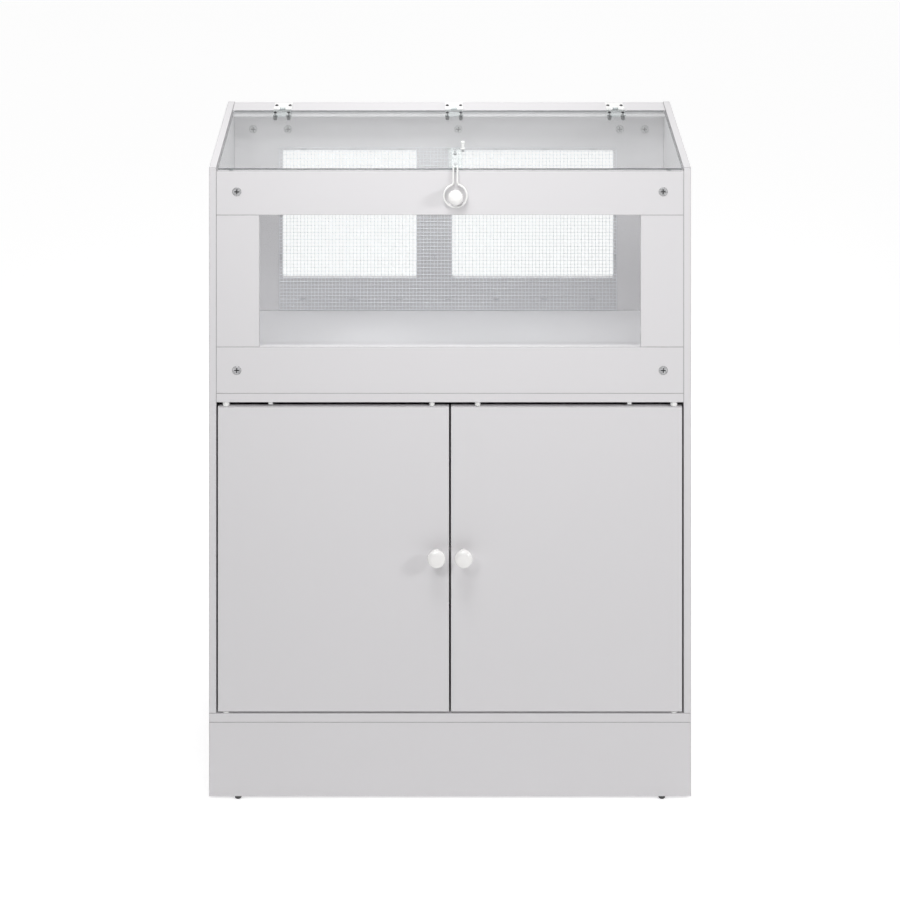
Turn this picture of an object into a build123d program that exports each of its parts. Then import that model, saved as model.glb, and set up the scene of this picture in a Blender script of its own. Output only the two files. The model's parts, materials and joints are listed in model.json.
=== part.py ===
from build123d import *
import os

# Hamster cage on a two-door storage cabinet.
# Millimetres, +Z up, front towards -Y. The origin is on the floor, under the middle of the carcass.

# Carcass
WIDTH = 800.0
DEPTH = 400.0
HEIGHT = 1049.0
BOARD = 12.0
DECK = 15.0
EDGE_BREAK = 0.5
GLIDE_HEIGHT = 5.0
PLINTH_HEIGHT = 123.0
CABINET_HEIGHT = 516.0
SHELF_UNDERSIDE = 398.0
SHELF_SETBACK = 24.0

# Cage front frame and rear wall
BOTTOM_RAIL = 77.0
TOP_RAIL = 73.0
RAIL_DROP = 6.0
STILE = 71.5
PANE = 2.5
PANE_LAP = 15.0
STRIP_DEPTH = 53.0
REAR_WINDOWS = {"left": (-301.0, -58.0), "right": (6.0, 298.0)}
REAR_WINDOW_Z = (733.0, 963.5)
MESH = 0.8
MESH_LAP = 5.0
MESH_BOTTOM_GAP = 1.5
MESH_STAPLES = 7
REAR_CAM_X = (-291.0, 17.0, 309.0)

# Lid, its hinges and its hasp
LID = 3.0
LID_DROP = 1.5
LID_SIDE_GAP = 2.0
LID_FRONT_GAP = 1.0
LID_REAR_GAP = 2.0
CENTRE_FITTINGS_X = 9.0
HINGE_X = (-298.0, CENTRE_FITTINGS_X, 298.0)
HINGE_WIDTH = 32.0
HINGE_LEAF = 2.0
KNUCKLE_RADIUS = 2.7
HINGE_PIN_RADIUS = 1.2
RUNNING_CLEARANCE = 0.05
HINGE_SCREW_SPACING = 24.0
HASP_PLATE = (22.0, 105.0, 2.0)
HASP_WIRE_RADIUS = 1.5
HASP_RING_RADIUS = 19.0
HASP_RING_SAG = 1.0
HASP_LEG_OFFSET = 3.4

LIFT_PEG = (22.5, -89.0)
LIFT_PEG_HEIGHT = 13.0

# Doors
DOOR_SIDE_GAP = 2.5
DOOR_MIDDLE_GAP = 3.0
DOOR_BOTTOM_GAP = 2.5
DOOR_TOP_GAP = 7.5
PIVOT_INSET = 13.5
PIVOT_RADIUS = 2.5
KNOB_X = 22.5
KNOB_Z = 408.0
DOOR_RUNNING_GAP = 0.5
CATCH_X = {"left": -30.0, "right": 46.0}
STOP_X = 298.0

# Cam fittings and dowels
CAM_RADIUS = 7.5
CAM_DEPTH = 9.5
CAM_REACH = 34.0
CAM_SLACK = 0.15
BOLT_RADIUS = 3.0
BOLT_THREAD_RADIUS = 2.5
BOLT_THREAD = 9.0
DOWEL_RADIUS = 3.0
DOWEL_IN_FACE = 8.0
DOWEL_IN_EDGE = 12.0
DOWEL_SLACK = 0.1

# Levels and planes that follow from them
HALF = WIDTH / 2
INNER = HALF - BOARD
FRONT = -DEPTH / 2
BACK = DEPTH / 2
FRONT_INNER = FRONT + BOARD
BACK_INNER = BACK - BOARD
FRONT_MID = FRONT + BOARD / 2
BACK_MID = BACK - BOARD / 2
BASE_BOTTOM = GLIDE_HEIGHT + PLINTH_HEIGHT
BASE_TOP = BASE_BOTTOM + DECK
FLOOR_BOTTOM = BASE_TOP + CABINET_HEIGHT
FLOOR_TOP = FLOOR_BOTTOM + DECK
RAIL_TOP = HEIGHT - RAIL_DROP
WINDOW_BOTTOM = FLOOR_TOP + BOTTOM_RAIL
WINDOW_TOP = RAIL_TOP - TOP_RAIL
WINDOW_HALF = INNER - STILE
STRIP_FRONT = BACK - STRIP_DEPTH
LID_TOP = HEIGHT - LID_DROP
LID_BOTTOM = LID_TOP - LID
STRIP_BOTTOM = LID_TOP - BOARD
LID_FRONT = FRONT + LID_FRONT_GAP
LID_BACK = STRIP_FRONT - LID_REAR_GAP
HINGE_Y = STRIP_FRONT - LID_REAR_GAP / 2
HINGE_Z = LID_TOP + KNUCKLE_RADIUS + 0.3
DOOR_BOTTOM = BASE_TOP + DOOR_BOTTOM_GAP
DOOR_TOP = FLOOR_BOTTOM - DOOR_TOP_GAP
DOOR_OUTER = INNER - DOOR_SIDE_GAP
PIVOT_X = DOOR_OUTER - PIVOT_INSET
TOP_CAM_Z = STRIP_BOTTOM - CAM_REACH
SIDE_CAM_X = INNER - CAM_REACH
LID_KNOB_Z = 1004.0
HASP_RING_Z = LID_KNOB_Z - HASP_RING_SAG
HASP_AXIS_Y = FRONT - 3.3
HASP_AXIS_Z = LID_TOP + HASP_PLATE[2] + HASP_WIRE_RADIUS + 0.2

SIDES = {"left": -1, "right": 1}

parts = {}
bores = {}
hardware = {}


def block(x, y, z):
    """A box between pairs of x, y and z limits."""
    size = (x[1] - x[0], y[1] - y[0], z[1] - z[0])
    centre = ((x[0] + x[1]) / 2, (y[0] + y[1]) / 2, (z[0] + z[1]) / 2)
    return Pos(*centre) * Box(*size)


def board(x, y, z):
    """A foil-covered board with its edges slightly broken."""
    piece = block(x, y, z)
    return chamfer(piece.edges(), EDGE_BREAK)


def rod(radius, start, direction, length):
    """A cylinder that starts at a point and runs along a direction."""
    return Plane(origin=start, z_dir=direction) * Cylinder(
        radius, length, align=(Align.CENTER, Align.CENTER, Align.MIN)
    )


def turned(profile, start, direction):
    """A turned piece: (radius, height) points revolved about the line through start."""
    outline = Polyline((0, profile[0][1]), *profile, (0, profile[-1][1]), close=True)
    solid = revolve(Plane.XZ * make_face(outline), Axis.Z)
    return Plane(origin=start, z_dir=direction) * solid


def step(point, direction, distance):
    """The point that lies a distance away along a direction."""
    return Vector(*point) + Vector(*direction) * distance


def add_bore(board_name, hole):
    bores.setdefault(board_name, []).append(hole)


def add_hardware(node, solid):
    hardware.setdefault(node, []).append(solid)


def mirrored_x(side, low, high):
    """The x limits of a piece that is given for the right-hand side."""
    return (low, high) if side > 0 else (-high, -low)


# ---------------------------------------------------------------- cam fittings and dowels

def cam_nut(centre, face_normal, toward):
    """A round cam nut, seen end on with its cross slot, open on the side where the bolt enters."""
    inward = Vector(*face_normal) * -1
    radius = CAM_RADIUS - CAM_SLACK
    depth = CAM_DEPTH - 0.3
    nut = Plane(origin=centre, z_dir=inward, x_dir=toward) * cam_body(radius, depth)
    return nut


def cam_body(radius, depth):
    body = Cylinder(radius, depth, align=(Align.CENTER, Align.CENTER, Align.MIN))
    body = chamfer(body.edges().group_by(Axis.Z)[0], 0.5)
    channel_half = BOLT_RADIUS + 0.4
    channel = block((-4.4, radius + 1), (-channel_half, channel_half), (BOARD / 2 - channel_half, depth + 1))
    slot_long, slot_wide, slot_deep = 4.2, 0.9, 1.6
    slot = block((-slot_long, slot_long), (-slot_wide, slot_wide), (-1, slot_deep))
    cross = slot + block((-slot_wide, slot_wide), (-slot_long, slot_long), (-1, slot_deep))
    return body - channel - cross


def cam_bolt(foot, direction):
    """A double-ended bolt: a thread in the face of one board, a necked head inside the nut."""
    back = Vector(*direction) * -1
    thread = rod(BOLT_THREAD_RADIUS - 0.05, foot, back, BOLT_THREAD - 0.5)
    shank = rod(BOLT_RADIUS, foot, direction, CAM_REACH - CAM_RADIUS - 1)
    neck = rod(1.7, foot, direction, CAM_REACH)
    head = rod(BOLT_RADIUS, step(foot, direction, CAM_REACH - 2), direction, 4.5)
    return thread + shank + neck + head


def cam_joint(group, cam_board, face_board, centre, face_normal, toward):
    """Join the edge of cam_board to the face of face_board with a cam nut and a bolt."""
    inward = Vector(*face_normal) * -1
    heart = step(centre, inward, BOARD / 2)
    foot = step(heart, toward, CAM_REACH)
    back = Vector(*toward) * -1
    add_bore(cam_board, rod(CAM_RADIUS, centre, inward, CAM_DEPTH))
    add_bore(cam_board, rod(BOLT_RADIUS + 0.25, foot, back, CAM_REACH))
    add_bore(face_board, rod(BOLT_THREAD_RADIUS, foot, toward, BOLT_THREAD))
    add_hardware("cam_nuts_" + group, cam_nut(centre, face_normal, toward))
    add_hardware("cam_bolts", cam_bolt(foot, back))


def dowel_joint(edge_board, face_board, mouth, into_face, face_depth=DOWEL_IN_FACE):
    """A fluted dowel across the seam at mouth, part in an edge and part in a face."""
    back = Vector(*into_face) * -1
    start = step(mouth, back, DOWEL_IN_EDGE)
    length = DOWEL_IN_EDGE + face_depth
    add_bore(edge_board, rod(DOWEL_RADIUS + DOWEL_SLACK, start, into_face, DOWEL_IN_EDGE))
    add_bore(face_board, rod(DOWEL_RADIUS + DOWEL_SLACK, mouth, into_face, face_depth))
    pin = rod(DOWEL_RADIUS, step(start, into_face, 0.5), into_face, length - 1)
    add_hardware("dowels", chamfer(pin.edges(), 0.6))


def join_plinth():
    for side_name, side in SIDES.items():
        plinth_side = "plinth_" + side_name
        for wall, wall_inner, outward in (("front", FRONT_INNER, -1), ("back", BACK_INNER, 1)):
            face = (side * INNER, wall_inner - outward * CAM_REACH, BASE_BOTTOM - PLINTH_HEIGHT / 2)
            cam_joint("inside", plinth_side, "plinth_" + wall, face, (-side, 0, 0), (0, outward, 0))
    for wall, wall_inner, outward in (("front", FRONT_INNER, -1), ("back", BACK_INNER, 1)):
        for side in SIDES.values():
            face = (side * 250, wall_inner, BASE_BOTTOM - CAM_REACH)
            cam_joint("inside", "plinth_" + wall, "base_board", face, (0, -outward, 0), (0, 0, 1))
        for z in (GLIDE_HEIGHT + 32, BASE_BOTTOM - 32):
            dowel_joint("plinth_brace", "plinth_" + wall, (0, wall_inner, z), (0, outward, 0))


def join_cabinet():
    for name, side in SIDES.items():
        panel = name + "_side_panel"
        middle = side * (INNER + BOARD / 2)
        for base_y, floor_y in ((-150, -150), (150, 140)):
            face = (side * INNER, base_y, BASE_TOP + CAM_REACH)
            cam_joint("inside", panel, "base_board", face, (-side, 0, 0), (0, 0, -1))
            floor_face = (side * SIDE_CAM_X, floor_y, FLOOR_BOTTOM)
            cam_joint("inside", "cage_floor", panel, floor_face, (0, 0, -1), (side, 0, 0))
        for y in (-70, 70):
            dowel_joint(panel, "base_board", (middle, y, BASE_TOP), (0, 0, -1))
            dowel_joint("cage_floor", panel, (side * INNER, y, FLOOR_BOTTOM + BOARD / 2), (side, 0, 0))
        for z in (BASE_TOP + 61, FLOOR_BOTTOM - 58):
            face = (side * SIDE_CAM_X, BACK_INNER, z)
            cam_joint("inside", "cabinet_back", panel, face, (0, -1, 0), (side, 0, 0))
        dowel_joint("cabinet_back", panel, (side * INNER, BACK_MID, SHELF_UNDERSIDE), (side, 0, 0))


def join_cage():
    for name, side in SIDES.items():
        panel = name + "_side_panel"
        for rail, z in (("front_top_rail", RAIL_TOP - 34.5), ("front_bottom_rail", WINDOW_BOTTOM - 39)):
            cam_joint("front", rail, panel, (side * SIDE_CAM_X, FRONT, z), (0, -1, 0), (side, 0, 0))
            dowel_joint(rail, panel, (side * INNER, FRONT_MID, z - 22), (side, 0, 0))
        for z in (TOP_CAM_Z, FLOOR_TOP + CAM_REACH):
            face = (side * SIDE_CAM_X, BACK_INNER, z)
            cam_joint("rear", "cage_back", panel, face, (0, -1, 0), (side, 0, 0))
        dowel_joint("rear_top_strip", panel, (side * INNER, STRIP_FRONT + 16, STRIP_BOTTOM + 6), (side, 0, 0))
        for x in (WINDOW_HALF + 18, INNER - 18):
            seam_top = (side * x, FRONT_MID, WINDOW_TOP)
            seam_bottom = (side * x, FRONT_MID, WINDOW_BOTTOM)
            dowel_joint(name + "_stile", "front_top_rail", seam_top, (0, 0, 1))
            dowel_joint(name + "_stile", "front_bottom_rail", seam_bottom, (0, 0, -1))
    for x in REAR_CAM_X:
        cam_joint("rear", "cage_back", "rear_top_strip", (x, BACK_INNER, TOP_CAM_Z), (0, -1, 0), (0, 0, 1))


# ---------------------------------------------------------------- boards

def make_plinth():
    z = (GLIDE_HEIGHT, BASE_BOTTOM)
    between = (FRONT_INNER, BACK_INNER)
    parts["plinth_front"] = board((-HALF, HALF), (FRONT, FRONT_INNER), z)
    parts["plinth_back"] = board((-HALF, HALF), (BACK_INNER, BACK), z)
    parts["plinth_left"] = board((-HALF, -INNER), between, z)
    parts["plinth_right"] = board((INNER, HALF), between, z)
    parts["plinth_brace"] = board((-BOARD / 2, BOARD / 2), between, z)


def make_glides():
    """Nail-on floor glides, four near the corners and one under the middle of the brace."""
    feet = [("plinth_brace", 0, 0)]
    feet += [("plinth_front", side * 352, FRONT_MID) for side in SIDES.values()]
    feet += [("plinth_back", side * 352, BACK_MID) for side in SIDES.values()]
    for wall, x, y in feet:
        disc = rod(5.5, (x, y, 0), (0, 0, 1), GLIDE_HEIGHT)
        disc = chamfer(disc.edges().group_by(Axis.Z)[0], 0.8)
        nail = rod(1.2, (x, y, GLIDE_HEIGHT), (0, 0, 1), 12)
        add_hardware("foot_glides", disc + nail)
        add_bore(wall, rod(1.25, (x, y, GLIDE_HEIGHT - 1), (0, 0, 1), 13.5))


def make_carcass():
    for name, side in SIDES.items():
        x = mirrored_x(side, INNER, HALF)
        parts[name + "_side_panel"] = board(x, (FRONT, BACK), (BASE_TOP, HEIGHT))
    parts["base_board"] = board((-HALF, HALF), (FRONT, BACK), (BASE_BOTTOM, BASE_TOP))
    parts["cage_floor"] = board((-INNER, INNER), (FRONT, BACK), (FLOOR_BOTTOM, FLOOR_TOP))
    parts["cabinet_back"] = board((-INNER, INNER), (BACK_INNER, BACK), (BASE_TOP, FLOOR_BOTTOM))


def make_shelf():
    """A loose shelf on four steel pins, set back from the doors."""
    x = INNER - 1.5
    y = (FRONT + SHELF_SETBACK, BACK_INNER - 1.5)
    parts["storage_shelf"] = board((-x, x), y, (SHELF_UNDERSIDE, SHELF_UNDERSIDE + BOARD))
    pin_radius = 2.5
    for name, side in SIDES.items():
        for pin_y in (-140, 150):
            z = SHELF_UNDERSIDE - pin_radius - 0.05
            mouth = (side * INNER, pin_y, z)
            add_bore(name + "_side_panel", rod(pin_radius + 0.05, mouth, (side, 0, 0), 8))
            peg = rod(pin_radius, step(mouth, (side, 0, 0), 7.5), (-side, 0, 0), 17)
            collar = rod(4, mouth, (-side, 0, 0), 1.2)
            collar -= block((-HALF, HALF), (FRONT, BACK), (SHELF_UNDERSIDE - 0.05, HEIGHT))
            add_hardware("shelf_pins", peg + collar)


def make_front_frame():
    y = (FRONT, FRONT_INNER)
    parts["front_bottom_rail"] = board((-INNER, INNER), y, (FLOOR_TOP, WINDOW_BOTTOM))
    parts["front_top_rail"] = board((-INNER, INNER), y, (WINDOW_TOP, RAIL_TOP))
    for name, side in SIDES.items():
        x = mirrored_x(side, WINDOW_HALF, INNER)
        parts[name + "_stile"] = board(x, y, (WINDOW_BOTTOM, WINDOW_TOP))


def make_pane():
    """The clear front pane, screwed to the back of the rails."""
    x = WINDOW_HALF + PANE_LAP
    z = (WINDOW_BOTTOM - PANE_LAP, WINDOW_TOP + PANE_LAP)
    pane = block((-x, x), (FRONT_INNER, FRONT_INNER + PANE), z)
    pane = fillet(pane.edges().filter_by(Axis.Y), 4)
    for screw_x in (-x + 8, 0, x - 8):
        for screw_z in (z[0] + 7.5, z[1] - 7.5):
            mouth = (screw_x, FRONT_INNER + PANE, screw_z)
            pane -= rod(1.8, (screw_x, FRONT_INNER - 1, screw_z), (0, 1, 0), PANE + 2)
            add_hardware("pane_screws", wood_screw(mouth, (0, 1, 0), 1.5, 2.9, 10.5))
    parts["front_pane"] = pane


def make_rear_wall():
    wall = board((-INNER, INNER), (BACK_INNER, BACK), (FLOOR_TOP, STRIP_BOTTOM))
    for x in REAR_WINDOWS.values():
        opening = block(x, (BACK_INNER - 1, BACK + 1), REAR_WINDOW_Z)
        wall -= fillet(opening.edges().filter_by(Axis.Y), 3)
    parts["cage_back"] = wall
    y = (STRIP_FRONT, BACK)
    parts["rear_top_strip"] = board((-INNER, INNER), y, (STRIP_BOTTOM, LID_TOP))


def make_mesh():
    """One sheet of welded wire mesh, drawn solid, over both windows, the post and the rail below."""
    left, right = REAR_WINDOWS["left"], REAR_WINDOWS["right"]
    x = (left[0] - MESH_LAP, right[1] + MESH_LAP)
    y = (BACK_INNER - MESH, BACK_INNER)
    z = (FLOOR_TOP + MESH_BOTTOM_GAP, REAR_WINDOW_Z[1] + MESH_LAP)
    parts["rear_mesh"] = block(x, y, z)
    middle_post = (left[1] + right[0]) / 2
    pitch = (x[1] - x[0]) / MESH_STAPLES
    for i in range(MESH_STAPLES):
        for crown_z in (z[0] + 20, z[1] - MESH_LAP / 2):
            crown_x = x[0] + (i + 0.5) * pitch
            add_hardware("mesh_staples", staple(crown_x, y[0], crown_z, upright=False))
    for i in range(3):
        crown_z = REAR_WINDOW_Z[0] + (i + 0.5) * (REAR_WINDOW_Z[1] - REAR_WINDOW_Z[0]) / 3
        for crown_x in (x[0] + MESH_LAP / 2, middle_post, x[1] - MESH_LAP / 2):
            add_hardware("mesh_staples", staple(crown_x, y[0], crown_z, upright=True))


def staple(x, face_y, z, upright):
    """A wire staple whose crown lies on the mesh and whose legs are driven into the wall."""
    half, wire, leg = 5.0, 1.2, 8.0
    crown = block((-half, half), (-wire, 0), (-wire / 2, wire / 2))
    for end in (-1, 1):
        leg_x = (end * half - wire * (end > 0), end * half + wire * (end < 0))
        crown += block(leg_x, (-wire, leg), (-wire / 2, wire / 2))
    if upright:
        crown = Rot(0, 90, 0) * crown
    return Pos(x, face_y, z) * crown


# ---------------------------------------------------------------- screws

def wood_screw(mouth, outward, shank_radius, head_radius, length):
    """A domed cross-head screw with its head against the surface at mouth."""
    head_height = head_radius * 0.6
    dome = [(head_radius, 0), (head_radius, head_height * 0.4), (head_radius * 0.6, head_height)]
    head = turned(dome, mouth, outward)
    inward = Vector(*outward) * -1
    shank = rod(shank_radius, mouth, inward, length - shank_radius)
    tip = Plane(origin=step(mouth, inward, length - shank_radius), z_dir=inward) * Cone(
        shank_radius, 0.2, shank_radius, align=(Align.CENTER, Align.CENTER, Align.MIN)
    )
    recess = cross_recess(step(mouth, outward, head_height), outward, head_radius * 0.55)
    return head + shank + tip - recess


def cross_recess(top, outward, reach):
    """The cross cut in the top of a screw head."""
    arm = Box(2 * reach, reach * 0.4, 1.6) + Box(reach * 0.4, 2 * reach, 1.6)
    return Plane(origin=top, z_dir=outward) * arm


# ---------------------------------------------------------------- lid

def make_lid():
    x = INNER - LID_SIDE_GAP
    lid = block((-x, x), (LID_FRONT, LID_BACK), (LID_BOTTOM, LID_TOP))
    lid = fillet(lid.edges().filter_by(Axis.Z), 2)
    lid = chamfer(lid.edges().filter_by(GeomType.LINE).filter_by(Axis.X), 0.3)
    for hinge_x in HINGE_X:
        for side in SIDES.values():
            x_hole = hinge_x + side * HINGE_SCREW_SPACING / 2
            lid -= rod(1.7, (x_hole, HINGE_Y - 22, LID_BOTTOM - 1), (0, 0, 1), LID + 2)
    for hole_y in hasp_screw_rows():
        lid -= rod(1.7, (CENTRE_FITTINGS_X, hole_y, LID_BOTTOM - 1), (0, 0, 1), LID + 2)
    lid -= rod(1.7, (*LIFT_PEG, LID_BOTTOM - 1), (0, 0, 1), LID + 2)
    parts["lid_panel"] = lid


def make_lift_peg():
    """A small peg to lift the lid by, and the screw that comes up into it from below."""
    top = LIFT_PEG_HEIGHT
    profile = [(4.2, 0), (4.2, 1.0), (3.2, 1.8), (3.0, top - 4), (3.6, top - 2), (3.0, top - 0.4), (2.2, top)]
    peg = turned(profile, (*LIFT_PEG, LID_TOP), (0, 0, 1))
    parts["lift_peg"] = peg - rod(1.6, (*LIFT_PEG, LID_TOP - 1), (0, 0, 1), 10)
    underside = (*LIFT_PEG, LID_BOTTOM)
    parts["lift_peg_screw"] = wood_screw(underside, (0, 0, -1), 1.5, 2.9, LID + 7)


def hasp_screw_rows():
    """The two screws of the hasp plate, near its ends."""
    return (LID_FRONT + 15, LID_FRONT + HASP_PLATE[1] - 12)


def make_bumpers():
    """Soft clear pads that the front corners of the lid come down on."""
    for side in SIDES.values():
        pad = rod(4, (side * 364, FRONT_MID, RAIL_TOP), (0, 0, 1), LID_BOTTOM - RAIL_TOP - 0.1)
        add_hardware("lid_bumpers", chamfer(pad.edges().group_by(Axis.Z)[-1], 0.4))


def machine_screw(top, length, under):
    """A pan-head machine screw from above, standing on the surface at top, and its nut below."""
    screw = wood_screw(top, (0, 0, 1), 1.5, 2.9, length)
    x, y = top[0], top[1]
    hexagon = extrude(Pos(x, y, under - 2.4) * RegularPolygon(3.1, 6), 2.4)
    nut = hexagon - rod(1.55, (x, y, under - 3), (0, 0, 1), 4)
    return screw, nut


def cap_nut(x, y, under):
    """A domed nut that covers the end of a hinge screw below the lid."""
    skirt = extrude(Pos(x, y, under - 3.4) * RegularPolygon(4.1, 6), 3.4)
    dome = turned([(3.5, 0), (3.5, 3), (2.6, 4.6), (1.2, 5.3)], (x, y, under - 3.2), (0, 0, -1))
    return skirt + dome - rod(1.55, (x, y, under - 6), (0, 0, 1), 7)


def make_hinges():
    """Three butt hinges on top, from the rear strip to the lid."""
    leaf_z = (LID_TOP, LID_TOP + HINGE_LEAF)
    knuckle_half = 4.9
    notch = KNUCKLE_RADIUS + 0.5
    for x in HINGE_X:
        half = HINGE_WIDTH / 2
        axis_point = (x - half, HINGE_Y, HINGE_Z)
        barrel = rod(KNUCKLE_RADIUS, axis_point, (1, 0, 0), HINGE_WIDTH)
        bore = rod(HINGE_PIN_RADIUS + RUNNING_CLEARANCE, (x - half - 1, HINGE_Y, HINGE_Z), (1, 0, 0), 40)
        column = (HINGE_Y - 60, HINGE_Y + 60)
        middle_gap = block((x - knuckle_half - 0.3, x + knuckle_half + 0.3), column, (LID_TOP - 5, LID_TOP + 20))
        middle = block((x - knuckle_half, x + knuckle_half), column, (LID_TOP - 5, LID_TOP + 20))
        notch_span = (HINGE_Y - notch, HINGE_Y + notch)
        fixed_plate = block((x - half, x + half), (HINGE_Y + 1.2, HINGE_Y + 44), leaf_z)
        moving_plate = block((x - half, x + half), (HINGE_Y - 36, HINGE_Y - 1.2), leaf_z)
        fixed_plate -= block(
            (x - knuckle_half - 0.3, x + knuckle_half + 0.3), notch_span, (LID_TOP - 5, LID_TOP + 20)
        )
        moving_plate -= block((x - half - 1, x - knuckle_half), notch_span, (LID_TOP - 5, LID_TOP + 20))
        moving_plate -= block((x + knuckle_half, x + half + 1), notch_span, (LID_TOP - 5, LID_TOP + 20))
        fixed = fixed_plate + (barrel - middle_gap) - bore
        moving = moving_plate + (barrel & middle) - bore
        for side in SIDES.values():
            screw_x = x + side * HINGE_SCREW_SPACING / 2
            fixed -= rod(1.7, (screw_x, HINGE_Y + 24, LID_TOP - 1), (0, 0, 1), 5)
            moving -= rod(1.7, (screw_x, HINGE_Y - 22, LID_TOP - 1), (0, 0, 1), 5)
            top = (screw_x, HINGE_Y + 24, LID_TOP + HINGE_LEAF)
            add_hardware("hinge_strip_screws", wood_screw(top, (0, 0, 1), 1.5, 2.9, 12))
            lid_screw_top = (screw_x, HINGE_Y - 22, LID_TOP + HINGE_LEAF)
            add_hardware("hinge_lid_screws", wood_screw(lid_screw_top, (0, 0, 1), 1.5, 2.9, 10))
            add_hardware("lid_nuts", cap_nut(screw_x, HINGE_Y - 22, LID_BOTTOM))
        add_hardware("hinge_strip_leaves", fixed)
        add_hardware("hinge_lid_leaves", moving)
        pin_start = (x - half + 0.2, HINGE_Y, HINGE_Z)
        add_hardware("hinge_pins", rod(HINGE_PIN_RADIUS, pin_start, (1, 0, 0), HINGE_WIDTH - 0.4))


def make_hasp():
    """A clear plate along the lid with a wire loop that swings down over the lid knob."""
    plate_width, plate_length, plate_height = HASP_PLATE
    x = CENTRE_FITTINGS_X
    barrel_half = HASP_LEG_OFFSET - HASP_WIRE_RADIUS - 0.3
    plate_y = (LID_FRONT, LID_FRONT + plate_length)
    plate = block((x - plate_width / 2, x + plate_width / 2), plate_y, (LID_TOP, LID_TOP + plate_height))
    plate = fillet(plate.edges().filter_by(Axis.Z), 3)
    barrel_radius = HASP_WIRE_RADIUS + 1.9
    barrel = rod(barrel_radius, (x - barrel_half, HASP_AXIS_Y, HASP_AXIS_Z), (1, 0, 0), 2 * barrel_half)
    barrel_z = (HASP_AXIS_Z - barrel_radius, LID_TOP + plate_height)
    neck = block((x - barrel_half, x + barrel_half), (HASP_AXIS_Y, LID_FRONT + 4), barrel_z)
    neck -= block((-HALF, HALF), (LID_FRONT - 0.5, BACK), (LID_BOTTOM, LID_TOP))
    bore_start = (x - barrel_half - 1, HASP_AXIS_Y, HASP_AXIS_Z)
    bore = rod(HASP_WIRE_RADIUS + RUNNING_CLEARANCE, bore_start, (1, 0, 0), 2 * barrel_half + 2)
    plate = plate + neck + barrel - bore
    for hole_y in hasp_screw_rows():
        plate -= rod(1.7, (x, hole_y, LID_TOP - 1), (0, 0, 1), plate_height + 2)
        screw, nut = machine_screw((x, hole_y, LID_TOP + plate_height), 8.5, LID_BOTTOM)
        add_hardware("hasp_screws", screw)
        add_hardware("lid_nuts", nut)
    parts["hasp_plate"] = plate
    parts["hasp_loop"] = hasp_loop()


def hasp_loop():
    """A keyhole of wire: a cross bar in the plate's barrel, two legs and a ring."""
    x = CENTRE_FITTINGS_X
    ring = Pos(x, HASP_AXIS_Y, HASP_RING_Z) * Rot(90, 0, 0) * Torus(HASP_RING_RADIUS, HASP_WIRE_RADIUS)
    ring_top = HASP_RING_Z + (HASP_RING_RADIUS**2 - HASP_LEG_OFFSET**2) ** 0.5
    legs_gap = block((x - HASP_LEG_OFFSET, x + HASP_LEG_OFFSET), (FRONT - 20, FRONT), (HASP_RING_Z, HEIGHT))
    loop = ring - legs_gap
    for side in SIDES.values():
        leg_x = x + side * HASP_LEG_OFFSET
        loop += rod(HASP_WIRE_RADIUS, (leg_x, HASP_AXIS_Y, ring_top), (0, 0, 1), HASP_AXIS_Z - ring_top)
        for joint_z in (ring_top, HASP_AXIS_Z):
            loop += Pos(leg_x, HASP_AXIS_Y, joint_z) * Sphere(HASP_WIRE_RADIUS + 0.03)
    bar_start = (x - HASP_LEG_OFFSET, HASP_AXIS_Y, HASP_AXIS_Z)
    return loop + rod(HASP_WIRE_RADIUS, bar_start, (1, 0, 0), 2 * HASP_LEG_OFFSET)


def make_lid_knob():
    """The ball knob on the front rail that the hasp loop drops over."""
    face = (CENTRE_FITTINGS_X, FRONT, LID_KNOB_Z)
    ball_centre, ball_radius, neck_radius = 17.0, 12.5, 4.5
    foot = turned([(7, 0), (7, 1.2), (neck_radius, 1.6), (neck_radius, 8)], face, (0, -1, 0))
    ball = Pos(*step(face, (0, -1, 0), ball_centre)) * Sphere(ball_radius)
    screw_hole = rod(2.0, face, (0, -1, 0), 14)
    parts["lid_knob"] = foot + ball - screw_hole
    through = rod(2.25, step(face, (0, 1, 0), BOARD), (0, -1, 0), BOARD)
    add_bore("front_top_rail", through)
    mouth = step(face, (0, 1, 0), BOARD)
    parts["lid_knob_screw"] = wood_screw(mouth, (0, 1, 0), 1.95, 3.8, BOARD + 13)


# ---------------------------------------------------------------- doors

def knob_profile():
    """Half outline of a turned cabinet knob, as (radius, distance from the door)."""
    return Polyline((0, 0), (8, 0), (8, 1.5)) + Spline(
        (8, 1.5), (5.6, 6), (6.4, 10.5), tangents=((-1, 1), (0.5, 1))
    ) + Spline((6.4, 10.5), (15, 18.5), (11, 26), (0, 28), tangents=((1, 0.5), (-1, 0)))


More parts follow.
